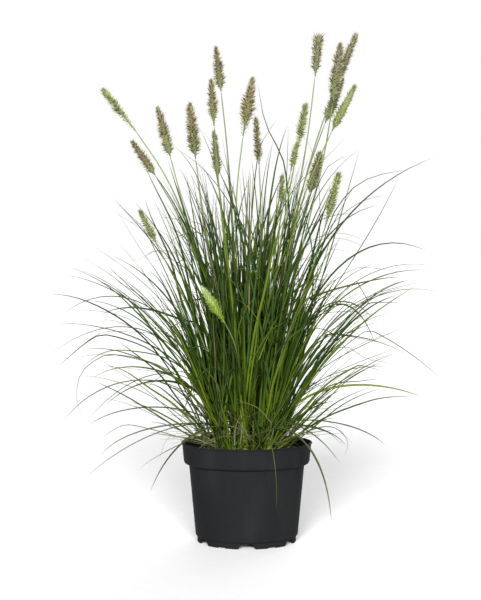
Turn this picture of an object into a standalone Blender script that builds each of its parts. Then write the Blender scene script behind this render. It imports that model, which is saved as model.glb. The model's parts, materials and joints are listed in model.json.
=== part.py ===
"""Potted fountain grass clump: a nursery pot, its compost, and the grass that stands in it.

Units are metres and +Z is up. The origin is on the pot's axis at the level that the pot stands on.
Directions round the clump are azimuths in degrees, from +X towards +Y.
"""

import math

import bmesh
import bpy
from mathutils import Matrix, Vector

# Driving dimensions of the pot
POT_HEIGHT = 0.144
LIP_RADIUS = 0.095
LIP_THICKNESS = 0.002
BAND_TOP_RADIUS = 0.0933
BAND_FOOT_RADIUS = 0.0912
BAND_HEIGHT = 0.0266
LEDGE_RADIUS = 0.0838
LEDGE_DROP = 0.031
LEDGE_ROUND = 0.0015
BODY_FOOT_RADIUS = 0.0741
CHAMFER_TOP = 0.0105
CHAMFER_FOOT = 0.008
FOOT_RADIUS = 0.0715
FOOT_WIDTH = 0.004
WALL = 0.0015
BASE_UNDERSIDE = 0.0072
POT_SIDES = 42
FIRST_CORNER = 2.0

# Drain gaps and foot notches, cut into the foot ring
FEET = 6
GAP_TOP_WIDTH = 0.0155
GAP_FOOT_WIDTH = 0.029
NOTCH_HEIGHT = 0.0018
NOTCH_WIDTH = 0.0125
CUT_DEPTH = 0.02
CUT_BELOW = 0.003

# Compost
CLEARANCE = 0.0003
COMPOST_EDGE = 0.129
CROWN_TOP = 0.134
CROWN_RADIUS = 0.06
CROWN_SLOPE = 0.012
SIDE_GAP = 0.0012

# Grass
STANDING = CROWN_TOP + CLEARANCE
CULM_RADIUS_FOOT = 0.0012
CULM_RADIUS_TOP = 0.0009
CULM_SIDES = 5
CULM_STEPS = 6
CULM_RING = (0.008, 0.034)
CULM_SPREAD = 0.2
CULM_LEAN = 0.05
CULM_UPRIGHT = 0.4
CULM_FLOW = 0.33
SPIKE_SIDES = 6
SPIKE_SHAPE = [(0.0, 0.45), (0.15, 0.85), (0.4, 1.0), (0.7, 0.85), (0.9, 0.5)]
TILLERS = 16
TILLER_RING = 0.045
SHEATH_WIDTH = 0.0052
SHEATH_HEIGHT = 0.036
SHEATH_LEAN = 0.003
SPLIT = 0.0002
BLADE_WIDTH = 0.0034
BLADE_THICKNESS = 0.0009
BLADE_STEPS = 9
BLADE_TAPER = 0.65
BLADE_FIRST_RUN = (0.2, 0.7)
SHOULDER_AT = 0.6
BLADE_SPREAD = [-7.5, 7.5, -2.5, 2.5]
BLADE_OUTER = [True, True, False, False]

# Each stem: where its spike starts, where the spike's tip is, and the spike's radius.
STEMS = [
    ((-0.163, 0.032, 0.596), (-0.211, 0.042, 0.656), 0.0070),
    ((-0.132, -0.026, 0.530), (-0.163, -0.032, 0.576), 0.0070),
    ((-0.125, -0.083, 0.429), (-0.149, -0.099, 0.478), 0.0070),
    ((-0.114, 0.076, 0.562), (-0.133, 0.088, 0.636), 0.0075),
    ((-0.077, 0.115, 0.561), (-0.086, 0.129, 0.644), 0.0075),
    ((-0.038, 0.070, 0.658), (-0.046, 0.082, 0.725), 0.0075),
    ((-0.046, -0.068, 0.597), (-0.050, -0.074, 0.659), 0.0070),
    ((-0.041, -0.027, 0.528), (-0.047, -0.031, 0.592), 0.0070),
    ((-0.005, -0.020, 0.586), (0.009, -0.022, 0.669), 0.0085),
    ((0.018, 0.030, 0.548), (0.0135, 0.035, 0.614), 0.0070),
    ((0.101, 0.058, 0.679), (0.106, 0.061, 0.733), 0.0060),
    ((0.071, -0.047, 0.563), (0.083, -0.055, 0.627), 0.0070),
    ((0.061, -0.092, 0.533), (0.069, -0.104, 0.569), 0.0060),
    ((0.132, 0.007, 0.667), (0.158, 0.008, 0.733), 0.0070),
    ((0.123, -0.024, 0.635), (0.133, -0.027, 0.717), 0.0080),
    ((0.115, 0.029, 0.608), (0.141, 0.035, 0.673), 0.0070),
    ((0.119, -0.080, 0.589), (0.150, -0.100, 0.650), 0.0065),
    ((0.095, 0.095, 0.509), (0.112, 0.112, 0.567), 0.0065),
    ((0.111, -0.047, 0.457), (0.130, -0.055, 0.531), 0.0070),
    ((-0.031, -0.120, 0.323), (-0.063, -0.150, 0.375), 0.0075),
    ((0.052, 0.100, 0.488), (0.054, 0.108, 0.533), 0.0060),
]

# Each shoot: the shoulder and the tip of its two outer blades, then of its two inner ones.
# Both are given as a distance from the clump's axis and a height.
SHOOTS = [
    [((0.150, 0.228), (0.256, 0.211)), ((0.135, 0.243), (0.213, 0.250)),
     ((0.175, 0.350), (0.288, 0.358)), ((0.165, 0.380), (0.284, 0.395))],
    [((0.147, 0.247), (0.235, 0.277)), ((0.150, 0.340), (0.228, 0.273)),
     ((0.165, 0.411), (0.288, 0.420)), ((0.165, 0.470), (0.315, 0.562))],
    [((0.150, 0.330), (0.245, 0.322)), ((0.170, 0.300), (0.280, 0.240)),
     ((0.165, 0.450), (0.296, 0.506)), ((0.140, 0.480), (0.265, 0.580))],
    [((0.160, 0.335), (0.270, 0.290)), ((0.175, 0.270), (0.285, 0.200)),
     ((0.085, 0.500), (0.149, 0.611)), ((0.075, 0.480), (0.120, 0.590))],
    [((0.180, 0.275), (0.288, 0.190)), ((0.160, 0.300), (0.270, 0.240)),
     ((0.095, 0.460), (0.150, 0.540)), ((0.125, 0.420), (0.200, 0.460))],
    [((0.175, 0.290), (0.285, 0.215)), ((0.160, 0.310), (0.275, 0.270)),
     ((0.070, 0.490), (0.109, 0.591)), ((0.120, 0.430), (0.190, 0.500))],
    [((0.160, 0.235), (0.260, 0.200)), ((0.165, 0.224), (0.281, 0.176)),
     ((0.055, 0.490), (0.105, 0.603)), ((0.075, 0.480), (0.148, 0.578))],
    [((0.180, 0.245), (0.284, 0.216)), ((0.170, 0.263), (0.284, 0.254)),
     ((0.135, 0.409), (0.218, 0.495)), ((0.130, 0.319), (0.221, 0.398))],
    [((0.153, 0.192), (0.238, 0.162)), ((0.165, 0.311), (0.290, 0.267)),
     ((0.130, 0.355), (0.218, 0.424)), ((0.160, 0.349), (0.269, 0.327))],
    [((0.167, 0.237), (0.268, 0.182)), ((0.160, 0.172), (0.235, 0.138)),
     ((0.171, 0.300), (0.292, 0.321)), ((0.134, 0.365), (0.205, 0.413))],
    [((0.160, 0.168), (0.280, 0.113)), ((0.148, 0.156), (0.239, 0.130)),
     ((0.165, 0.252), (0.290, 0.196)), ((0.105, 0.365), (0.150, 0.420))],
    [((0.165, 0.165), (0.257, 0.104)), ((0.150, 0.215), (0.240, 0.190)),
     ((0.140, 0.290), (0.230, 0.260)), ((0.150, 0.262), (0.255, 0.200))],
    [((0.165, 0.262), (0.288, 0.195)), ((0.150, 0.275), (0.240, 0.225)),
     ((0.130, 0.335), (0.200, 0.330)), ((0.085, 0.400), (0.130, 0.470))],
    [((0.128, 0.156), (0.155, 0.070)), ((0.150, 0.180), (0.245, 0.142)),
     ((0.135, 0.320), (0.210, 0.300)), ((0.090, 0.440), (0.140, 0.520))],
    [((0.140, 0.150), (0.189, 0.052)), ((0.125, 0.172), (0.175, 0.150)),
     ((0.155, 0.345), (0.250, 0.330)), ((0.140, 0.430), (0.241, 0.483))],
    [((0.145, 0.180), (0.220, 0.154)), ((0.147, 0.275), (0.233, 0.315)),
     ((0.140, 0.375), (0.232, 0.523)), ((0.160, 0.366), (0.275, 0.394))],
]


def material(name, colour, roughness):
    """A plain Principled material."""
    mat = bpy.data.materials.new(name)
    mat.use_nodes = True
    shader = mat.node_tree.nodes["Principled BSDF"]
    shader.inputs["Base Color"].default_value = (*colour, 1.0)
    shader.inputs["Roughness"].default_value = roughness
    shader.inputs["Metallic"].default_value = 0.0
    return mat


def add_object(name, bm, mat):
    """Write a bmesh to a named object."""
    bmesh.ops.recalc_face_normals(bm, faces=bm.faces)
    mesh = bpy.data.meshes.new(name)
    bm.to_mesh(mesh)
    bm.free()
    mesh.materials.append(mat)
    obj = bpy.data.objects.new(name, mesh)
    bpy.context.collection.objects.link(obj)
    return obj


def direction(azimuth):
    """The level unit vector at an azimuth in degrees."""
    angle = math.radians(azimuth)
    return Vector((math.cos(angle), math.sin(angle), 0.0))


def turned(profile, sides):
    """A closed turned solid from an outline that starts and ends on the axis. Its first corner is at the
    azimuth FIRST_CORNER, which keeps every corner off the planes X = 0 and Y = 0."""
    bm = bmesh.new()
    start = direction(FIRST_CORNER)
    verts = [bm.verts.new((radius * start.x, radius * start.y, height)) for radius, height in profile]
    edges = [bm.edges.new(pair) for pair in zip(verts, verts[1:])]
    bmesh.ops.spin(bm, geom=verts + edges, cent=(0, 0, 0), axis=(0, 0, 1),
                   angle=math.tau, steps=sides, use_merge=True)
    bmesh.ops.remove_doubles(bm, verts=bm.verts, dist=1e-6)
    return bm


def extend(bm, face):
    """Extrude one face and return the new one. The old one goes, so a first face leaves a hole."""
    return bmesh.ops.extrude_discrete_faces(bm, faces=[face])["faces"][0]


def bezier(points, t):
    """A point on the cubic curve of four control points."""
    a, b, c, d = points
    s = 1.0 - t
    return a * s ** 3 + b * 3 * s * s * t + c * 3 * s * t * t + d * t ** 3


def pot_profile():
    """The pot's outline: out along its underside, up its outside, over the lip and down its inside."""
    band_foot = POT_HEIGHT - BAND_HEIGHT
    ledge = POT_HEIGHT - LEDGE_DROP
    base_top = BASE_UNDERSIDE + WALL
    foot_inside = FOOT_RADIUS - FOOT_WIDTH
    return [
        (0.0, BASE_UNDERSIDE),
        (foot_inside, BASE_UNDERSIDE),
        (foot_inside, 0.0),
        (FOOT_RADIUS, 0.0),
        (FOOT_RADIUS, CHAMFER_FOOT),
        (BODY_FOOT_RADIUS, CHAMFER_TOP),
        (LEDGE_RADIUS, ledge),
        (LEDGE_RADIUS + LEDGE_ROUND, ledge),
        (BAND_FOOT_RADIUS - LEDGE_ROUND, band_foot - LEDGE_ROUND),
        (BAND_FOOT_RADIUS, band_foot),
        (BAND_TOP_RADIUS, POT_HEIGHT - LIP_THICKNESS),
        (LIP_RADIUS, POT_HEIGHT - LIP_THICKNESS),
        (LIP_RADIUS, POT_HEIGHT),
        (BAND_TOP_RADIUS - WALL, POT_HEIGHT),
        (BAND_FOOT_RADIUS - WALL, ledge + 2 * WALL),
        (LEDGE_RADIUS - WALL, ledge - WALL),
        (BODY_FOOT_RADIUS - 2 * WALL, CHAMFER_TOP + WALL),
        (foot_inside - WALL, base_top),
        (0.0, base_top),
    ]


def foot_cutter(name, azimuth, height, top_width, foot_width):
    """A wedge that opens downwards and crosses the foot ring at an azimuth."""
    bm = bmesh.new()
    bmesh.ops.create_cube(bm, size=1.0)
    for vert in bm.verts:
        top = vert.co.z > 0
        vert.co.x = FOOT_RADIUS - FOOT_WIDTH / 2 + vert.co.x * CUT_DEPTH
        vert.co.y *= top_width if top else foot_width
        vert.co.z = height if top else -CUT_BELOW
    bmesh.ops.rotate(bm, verts=bm.verts, matrix=Matrix.Rotation(math.radians(azimuth), 3, "Z"))
    bmesh.ops.recalc_face_normals(bm, faces=bm.faces)
    mesh = bpy.data.meshes.new(name)
    bm.to_mesh(mesh)
    bm.free()
    cutter = bpy.data.objects.new(name, mesh)
    cutter.hide_render = True
    cutter.display_type = "WIRE"
    bpy.context.collection.objects.link(cutter)
    return cutter


def cut(obj, cutter):
    """Take the cutter out of the object."""
    modifier = obj.modifiers.new("cut_" + cutter.name, "BOOLEAN")
    modifier.operation = "DIFFERENCE"
    modifier.solver = "EXACT"
    modifier.object = cutter


def make_pot(mat):
    """The pot: a turned wall and base, with gaps and notches cut in its foot ring."""
    pot = add_object("pot", turned(pot_profile(), POT_SIDES), mat)
    step = 360.0 / FEET
    for foot in range(FEET):
        azimuth = foot * step - 90.0
        cut(pot, foot_cutter(f"gap_{foot}", azimuth, BASE_UNDERSIDE, GAP_TOP_WIDTH, GAP_FOOT_WIDTH))
        cut(pot, foot_cutter(f"notch_{foot}", azimuth + step / 2, NOTCH_HEIGHT, NOTCH_WIDTH, NOTCH_WIDTH))
    pot.data.shade_smooth()
    pot.data.set_sharp_from_angle(angle=math.radians(30))


def make_compost(mat):
    """The root ball: it fills the pot and rises to a low flat crown that the grass stands on."""
    ledge = POT_HEIGHT - LEDGE_DROP
    band_inside = BAND_FOOT_RADIUS - WALL - SIDE_GAP
    body_inside = LEDGE_RADIUS - WALL - SIDE_GAP
    base_top = BASE_UNDERSIDE + WALL + CLEARANCE
    profile = [
        (0.0, base_top),
        (FOOT_RADIUS - FOOT_WIDTH - WALL - SIDE_GAP, base_top),
        (BODY_FOOT_RADIUS - 2 * WALL - SIDE_GAP, CHAMFER_TOP + 2 * WALL),
        (body_inside, ledge - WALL),
        (band_inside, ledge + 3 * WALL),
        (band_inside, COMPOST_EDGE),
        (CROWN_RADIUS + CROWN_SLOPE, COMPOST_EDGE + CLEARANCE),
        (CROWN_RADIUS, CROWN_TOP),
        (0.0, CROWN_TOP),
    ]
    add_object("compost", turned(profile, POT_SIDES), mat)


def make_culm(number, spike_foot, spike_tip, mat):
    """A stalk: level rings along a curve from the crown to just under its spike."""
    foot_at = Vector(spike_foot)
    along = (Vector(spike_tip) - foot_at).normalized()
    top = foot_at - along * (CLEARANCE + CULM_RADIUS_TOP)
    outward = Vector((foot_at.x, foot_at.y, 0.0))
    reach = outward.length
    start = outward.normalized() * min(CULM_RING[0] + CULM_SPREAD * reach, CULM_RING[1])
    start.z = STANDING
    rise = top.z - start.z
    path = [start,
            start + outward * CULM_LEAN + Vector((0, 0, rise * CULM_UPRIGHT)),
            top - along * rise * CULM_FLOW,
            top]
    bm = bmesh.new()
    bmesh.ops.create_circle(bm, cap_ends=True, segments=CULM_SIDES, radius=CULM_RADIUS_FOOT)
    bmesh.ops.translate(bm, verts=bm.verts, vec=start)
    face = bm.faces[:][0]
    slimmer = (CULM_RADIUS_TOP / CULM_RADIUS_FOOT) ** (1.0 / CULM_STEPS)
    for step in range(1, CULM_STEPS + 1):
        here = bezier(path, (step - 1) / CULM_STEPS)
        place = bezier(path, step / CULM_STEPS)
        face = extend(bm, face)
        bmesh.ops.translate(bm, verts=face.verts, vec=place - here)
        bmesh.ops.scale(bm, verts=face.verts, vec=(slimmer, slimmer, 1.0), space=Matrix.Translation(-place))
    bmesh.ops.holes_fill(bm, edges=bm.edges)
    add_object(f"culm_{number:02d}", bm, mat)


def make_spike(number, spike_foot, spike_tip, radius, mat):
    """A flower spike: rings across its axis that swell and draw in to a point."""
    foot = Vector(spike_foot)
    axis = Vector(spike_tip) - foot
    bm = bmesh.new()
    bmesh.ops.create_circle(bm, cap_ends=True, segments=SPIKE_SIDES, radius=radius * SPIKE_SHAPE[0][1])
    face = bm.faces[:][0]
    for (low, wide_low), (high, wide_high) in zip(SPIKE_SHAPE, SPIKE_SHAPE[1:]):
        face = extend(bm, face)
        swell = wide_high / wide_low
        bmesh.ops.translate(bm, verts=face.verts, vec=(0, 0, (high - low) * axis.length))
        bmesh.ops.scale(bm, verts=face.verts, vec=(swell, swell, 1.0))
    tip = bmesh.ops.poke(bm, faces=[face])["verts"]
    bmesh.ops.translate(bm, verts=tip, vec=(0, 0, (1.0 - SPIKE_SHAPE[-1][0]) * axis.length))
    bmesh.ops.holes_fill(bm, edges=bm.edges)
    turn = axis.to_track_quat("Z", "Y").to_matrix().to_4x4()
    bmesh.ops.transform(bm, matrix=Matrix.Translation(foot) @ turn, verts=bm.verts)
    add_object(f"spike_{number:02d}", bm, mat)


def blade_path(start, shoulder, tip):
    """Control points, as distance and height, of a blade that rises, bends over its shoulder and ends
    at its tip. The curve passes through the shoulder at SHOULDER_AT of its run. Its first handle goes
    BLADE_FIRST_RUN of the way from the start to the bend, so that it sets off steeply."""
    t = SHOULDER_AT
    s = 1.0 - t
    bend = []
    rise = []
    for axis, share in enumerate(BLADE_FIRST_RUN):
        from_start = start[axis] * (s ** 3 + 3 * s * s * t * (1 - share))
        from_tip = tip[axis] * t ** 3
        bend.append((shoulder[axis] - from_start - from_tip) / (3 * s * t * t + 3 * s * s * t * share))
        rise.append(start[axis] + share * (bend[axis] - start[axis]))
    return [Vector(point) for point in (start, rise, bend, tip)]


def grow_blade(bm, face, azimuth, shoulder, tip):
    """Extrude one quad on top of the sheath along the blade's path, and close it in a point."""
    outward = direction(azimuth)
    across = Vector((-outward.y, outward.x, 0.0))
    up = Vector((0.0, 0.0, 1.0))
    centre = face.calc_center_median()
    path = blade_path((centre.xy.length, centre.z), shoulder, tip)
    offsets = [vert.co - centre for vert in face.verts]
    corners = [(math.copysign(1, offset.dot(across)), -math.copysign(1, offset.dot(outward)))
               for offset in offsets]
    for step in range(1, BLADE_STEPS):
        t = step / BLADE_STEPS
        here = bezier(path, t)
        ahead = (bezier(path, t + 0.5 / BLADE_STEPS) - here).normalized()
        normal = up * ahead.x - outward * ahead.y
        taper = 1.0 - BLADE_TAPER * t ** 3
        face = extend(bm, face)
        for vert, (side, above) in zip(face.verts, corners):
            vert.co = outward * here.x + up * here.y
            vert.co += across * (side * taper * BLADE_WIDTH / 2)
            vert.co += normal * (above * taper * BLADE_THICKNESS / 2)
    end = bmesh.ops.poke(bm, faces=[face])["verts"][0]
    end.co = outward * path[-1].x + up * path[-1].y


def make_tiller(number, azimuth, blades, mat):
    """A leafy shoot: a square sheath whose top splits in four blades."""
    bm = bmesh.new()
    bmesh.ops.create_grid(bm, x_segments=2, y_segments=2, size=SHEATH_WIDTH / 2)
    grown = bmesh.ops.extrude_face_region(bm, geom=bm.faces[:])["geom"]
    top_verts = [item for item in grown if isinstance(item, bmesh.types.BMVert)]
    top = [item for item in grown if isinstance(item, bmesh.types.BMFace)]
    bmesh.ops.translate(bm, verts=top_verts, vec=(SHEATH_LEAN, 0, SHEATH_HEIGHT))
    turn = Matrix.Rotation(math.radians(azimuth), 4, "Z")
    place = Matrix.Translation((TILLER_RING, 0, STANDING))
    bmesh.ops.transform(bm, matrix=turn @ place, verts=bm.verts)
    bmesh.ops.inset_individual(bm, faces=top, thickness=SPLIT, use_even_offset=True)
    bmesh.ops.recalc_face_normals(bm, faces=bm.faces)
    outward = direction(azimuth)
    across = Vector((-outward.y, outward.x, 0.0))
    for (shoulder, tip), spread, outer in zip(blades, BLADE_SPREAD, BLADE_OUTER):
        corner = across * math.copysign(1, spread) + outward * (1 if outer else -1)
        face = max(top, key=lambda item: item.calc_center_median().dot(corner))
        top.remove(face)
        grow_blade(bm, face, azimuth + spread, shoulder, tip)
    add_object(f"tiller_{number:02d}", bm, mat)


def main():
    for obj in list(bpy.data.objects):
        bpy.data.objects.remove(obj)
    pot_plastic = material("pot_plastic", (0.032, 0.033, 0.035), 0.5)
    compost_fibre = material("compost_fibre", (0.06, 0.04, 0.025), 0.95)
    make_pot(pot_plastic)
    make_compost(compost_fibre)
    for number, (foot, tip, radius) in enumerate(STEMS, start=1):
        make_culm(number, foot, tip, material(f"stalk_{number:02d}", (0.25, 0.30, 0.10), 0.55))
        make_spike(number, foot, tip, radius, material(f"bristle_{number:02d}", (0.36, 0.32, 0.20), 0.8))
    for number, blades in enumerate(SHOOTS, start=1):
        azimuth = (number - 1) * 360.0 / TILLERS
        make_tiller(number, azimuth, blades, material(f"leaf_{number:02d}", (0.10, 0.16, 0.04), 0.5))


main()
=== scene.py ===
# %% [markdown]
# # A fountain grass clump in its nursery pot
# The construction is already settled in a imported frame: a pot, its compost, 21 stems with a flower spike
# each, and 16 leafy shoots, all as plain solids at their real size. This lesson dresses that frame. Each
# solid is replaced by a finer piece in the same place, and hundreds of blades that are too many to be
# solids are added round them. Everything is in metres, with +Z up and -Y towards the viewer.

import json
import math
import random

import bmesh
import bpy
import numpy as np
from mathutils import Matrix, Vector, noise


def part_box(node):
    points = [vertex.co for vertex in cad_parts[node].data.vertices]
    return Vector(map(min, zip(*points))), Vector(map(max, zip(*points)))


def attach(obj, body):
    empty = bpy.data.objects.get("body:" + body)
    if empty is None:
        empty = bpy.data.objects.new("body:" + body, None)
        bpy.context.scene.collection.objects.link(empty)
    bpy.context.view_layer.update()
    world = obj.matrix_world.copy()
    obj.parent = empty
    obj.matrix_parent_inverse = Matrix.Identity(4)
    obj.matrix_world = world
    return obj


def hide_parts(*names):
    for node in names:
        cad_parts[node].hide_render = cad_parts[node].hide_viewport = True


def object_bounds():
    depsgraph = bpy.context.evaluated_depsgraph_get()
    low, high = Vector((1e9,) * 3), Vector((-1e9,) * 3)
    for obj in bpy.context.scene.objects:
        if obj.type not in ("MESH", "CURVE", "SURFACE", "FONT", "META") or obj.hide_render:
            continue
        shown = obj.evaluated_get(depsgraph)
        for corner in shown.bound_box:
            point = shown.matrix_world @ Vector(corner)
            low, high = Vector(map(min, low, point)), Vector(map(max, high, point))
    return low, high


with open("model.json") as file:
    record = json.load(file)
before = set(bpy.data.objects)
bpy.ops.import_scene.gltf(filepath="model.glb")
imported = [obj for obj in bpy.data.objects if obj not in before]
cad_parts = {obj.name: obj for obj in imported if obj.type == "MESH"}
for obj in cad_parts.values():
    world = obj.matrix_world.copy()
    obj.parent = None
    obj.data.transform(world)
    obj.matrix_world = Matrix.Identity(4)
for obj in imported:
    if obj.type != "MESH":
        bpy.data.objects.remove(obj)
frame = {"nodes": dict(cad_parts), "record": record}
CAD_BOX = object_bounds()
print("frame nodes:", len(frame["nodes"]), "box:", [tuple(round(v, 3) for v in corner) for corner in CAD_BOX])

# %% [markdown]
# ## The camera and the studio
# The clump is seen from a little above half its height, looking slightly down, and from far enough away that
# the pot's ellipses are nearly flat. A long lens at 2.33 m does that. The camera comes first, because every
# later choice is looked at through it. Standard colour management keeps white paper-white and leaf green as
# it is set.

# %% Camera
EYE = Vector((-0.009, -2.33, 0.437))
LENS = 96.9
LOOK_DOWN = 2.16

camera_data = bpy.data.cameras.new("camera")
camera_data.lens = LENS
camera_data.clip_start = 0.05
camera_data.clip_end = 100.0
camera = bpy.data.objects.new("camera", camera_data)
camera.location = EYE
camera.rotation_euler = (math.radians(90.0 - LOOK_DOWN), 0.0, 0.0)
bpy.context.collection.objects.link(camera)
bpy.context.scene.camera = camera
bpy.context.scene.view_settings.view_transform = "Standard"
print("camera at", tuple(EYE), "lens", LENS)

# %% [markdown]
# Shader maths reads best as ordinary Python. This small class wraps one output socket, so that
# `1 - mask * 0.5` adds its own Math nodes. Every other node comes from one method, `node`, which takes the
# node's type, its settings and what its sockets get.

# %% A socket that can be used in sums


class Signal:
    def __init__(self, tree, socket=None):
        self.tree = tree
        self.socket = socket

    def node(self, kind, settings=None, sockets=None, output=0):
        made = self.tree.nodes.new("ShaderNode" + kind)
        for name, value in (settings or {}).items():
            if name == "stops":
                ramp = made.color_ramp.elements
                while len(ramp) < len(value):
                    ramp.new(0.5)
                for stop, (place, colour) in zip(ramp, value):
                    stop.position = place
                    stop.color = (*colour, 1.0)
            else:
                setattr(made, name, value)
        for name, value in (sockets or {}).items():
            if isinstance(value, Signal):
                self.tree.links.new(value.socket, made.inputs[name])
            else:
                made.inputs[name].default_value = value
        return Signal(self.tree, made.outputs[output])

    def sum_with(self, operation, first, second):
        return self.node("Math", {"operation": operation}, {0: first, 1: second})

    def __add__(self, other):
        return self.sum_with("ADD", self, other)

    __radd__ = __add__

    def __sub__(self, other):
        return self.sum_with("SUBTRACT", self, other)

    def __rsub__(self, other):
        return self.sum_with("SUBTRACT", other, self)

    def __mul__(self, other):
        return self.sum_with("MULTIPLY", self, other)

    __rmul__ = __mul__

    def attribute(self, name):
        return self.node("Attribute", {"attribute_name": name}, output="Fac")

    def between(self, low, high):
        """0 below low, 1 above high, and a smooth step from one to the other."""
        return self.node("MapRange", {"interpolation_type": "SMOOTHSTEP"},
                         {"Value": self, "From Min": low, "From Max": high})

    def mix(self, first, second):
        """This value is the factor between two colours."""
        made = self.node("Mix", {"data_type": "RGBA"}, output=2)
        entries = made.socket.node.inputs
        for entry, colour in ((entries[6], first), (entries[7], second)):
            if isinstance(colour, Signal):
                self.tree.links.new(colour.socket, entry)
            else:
                entry.default_value = (*colour, 1.0)
        self.tree.links.new(self.socket, entries[0])
        return made

    def scaled_noise(self, scale, detail=2.0, stretch=(1.0, 1.0, 1.0)):
        """Noise on Object coordinates, stretched along the axes."""
        place = self.node("TexCoord", output="Object")
        place = self.node("Mapping", {}, {"Vector": place, "Scale": stretch})
        return self.node("TexNoise", {}, {"Vector": place, "Scale": scale, "Detail": detail})

    def bump(self, strength, distance):
        return self.node("Bump", {}, {"Height": self, "Strength": strength, "Distance": distance})


def finish_material(name, build):
    """Make a material whose nodes are added by build(start, shader)."""
    mat = bpy.data.materials.new(name)
    mat.use_nodes = True
    tree = mat.node_tree
    build(Signal(tree), tree.nodes["Principled BSDF"])
    return mat


def feed(shader, **entries):
    """Give the shader's sockets values or signals. An underscore in a name stands for a space."""
    for name, value in entries.items():
        entry = shader.inputs[name.replace("_", " ")]
        if isinstance(value, Signal):
            value.tree.links.new(value.socket, entry)
        elif isinstance(value, tuple):
            entry.default_value = (*value, 1.0)
        else:
            entry.default_value = value


# %% [markdown]
# ## Lights and floor
# Soft light from the front on both sides of the viewer shows a plant without hard shadows and lets the
# sides of a round pot fall away into the dark, which is how its roundness reads. A weaker light from above
# keeps the tops of the blades bright, and one from behind keeps the back of the clump readable when it is
# walked round. The floor is one large pale disc.

# %% Studio
FLOOR_RADIUS = 30.0


def sun(name, towards, strength, softness):
    """A distant soft light that comes from the direction `towards`."""
    data = bpy.data.lights.new(name, "SUN")
    data.energy = strength
    data.angle = math.radians(softness)
    light = bpy.data.objects.new(name, data)
    light.rotation_euler = Vector(towards).to_track_quat("Z", "Y").to_euler()
    bpy.context.collection.objects.link(light)


sun("front_left", (-0.16, -1.0, 0.40), 4.6, 14.0)
sun("front_right", (0.14, -1.0, 0.30), 4.2, 14.0)
sun("overhead", (0.0, -0.15, 1.0), 0.4, 80.0)
sun("behind", (0.25, 1.0, 0.45), 1.6, 50.0)

world = bpy.data.worlds.new("studio")
world.use_nodes = True
bpy.context.scene.world = world
backdrop = world.node_tree.nodes["Background"]
sky = Signal(world.node_tree)
seen_directly = sky.node("LightPath", output="Is Camera Ray")
feed(backdrop, Color=(1.0, 1.0, 1.0), Strength=seen_directly * 0.9 + 0.1)


def floor_finish(start, shader):
    grain = start.scaled_noise(40.0).between(0.2, 0.8)
    feed(shader, Base_Color=grain.mix((0.81, 0.81, 0.81), (0.83, 0.83, 0.83)), Roughness=0.85)


bm = bmesh.new()
bmesh.ops.create_circle(bm, cap_ends=True, segments=96, radius=FLOOR_RADIUS)
floor_mesh = bpy.data.meshes.new("floor")
bm.to_mesh(floor_mesh)
bm.free()
floor = bpy.data.objects.new("floor", floor_mesh)
floor_mesh.materials.append(finish_material("pale_floor", floor_finish))
bpy.context.collection.objects.link(floor)

# %% [markdown]
# ## From a bmesh to a piece
# Every piece ends the same way: it is written to a mesh, gets its material, rides on the one body of the
# row, and hides the plain solids that it stands for.

# %% Making pieces
pieces_made = []


def add_piece(name, mesh, mat, stands_for=()):
    mesh.materials.append(mat)
    piece = bpy.data.objects.new(name, mesh)
    bpy.context.collection.objects.link(piece)
    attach(piece, "root")
    if stands_for:
        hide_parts(*stands_for)
    pieces_made.append(piece)


def mesh_from(bm, name, smooth_angle=None):
    """Turn a finished bmesh into a mesh, smooth where its faces meet at less than the angle."""
    mesh = bpy.data.meshes.new(name)
    bm.to_mesh(mesh)
    bm.free()
    if smooth_angle is not None:
        mesh.shade_smooth()
        mesh.set_sharp_from_angle(angle=math.radians(smooth_angle))
    return mesh


def merged(node):
    """A bmesh of a frame node with its loose triangles joined up."""
    bm = bmesh.new()
    bm.from_mesh(frame["nodes"][node].data)
    bmesh.ops.remove_doubles(bm, verts=bm.verts, dist=1e-5)
    return bm


# %% [markdown]
# ## The pot
# A nursery pot is one thin injection moulding: a small lip, a deep rim band that a stack of pots nests on,
# a ledge, a tapered wall, a chamfer and a foot ring. It is a turned shape, so an outline is spun round its
# axis. Where two stretches of the outline meet, a short curve is put in, because moulded plastic never has a
# sharp corner. Its six drain gaps and the shallow notches in its feet aren't turned. They are cut out by one
# Boolean modifier, whose cutter is twelve rounded wedges, and the cut mesh is kept.

# %% Pot outline
POT_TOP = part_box("pot")[1].z
LIP_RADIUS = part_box("pot")[1].x
POT_STEPS = 144
FOOT_RADIUS = 0.0715
FOOT_WIDTH = 0.004
UNDERSIDE = 0.0072
CORNER_STEPS = 5


def rounded(outline):
    """An outline of (radius, height, corner size) with each corner replaced by a short curve."""
    smooth = []
    for index, (radius, height, size) in enumerate(outline):
        corner = Vector((radius, height))
        if size == 0.0:
            smooth.append(corner)
            continue
        before = (Vector(outline[index - 1][:2]) - corner).normalized() * size
        after = (Vector(outline[index + 1][:2]) - corner).normalized() * size
        for step in range(CORNER_STEPS + 1):
            t = step / CORNER_STEPS
            smooth.append(corner + before * (1 - t) ** 2 + after * t ** 2)
    return smooth


def spun(outline, steps):
    """Spin an outline that starts and ends on the axis into a closed shape."""
    bm = bmesh.new()
    verts = [bm.verts.new((point.x, 0.0, point.y)) for point in outline]
    edges = [bm.edges.new(pair) for pair in zip(verts, verts[1:])]
    bmesh.ops.spin(bm, geom=verts + edges, cent=(0, 0, 0), axis=(0, 0, 1), angle=math.tau, steps=steps,
                   use_merge=True)
    bmesh.ops.remove_doubles(bm, verts=bm.verts, dist=1e-6)
    bmesh.ops.recalc_face_normals(bm, faces=bm.faces)
    return bm


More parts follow.
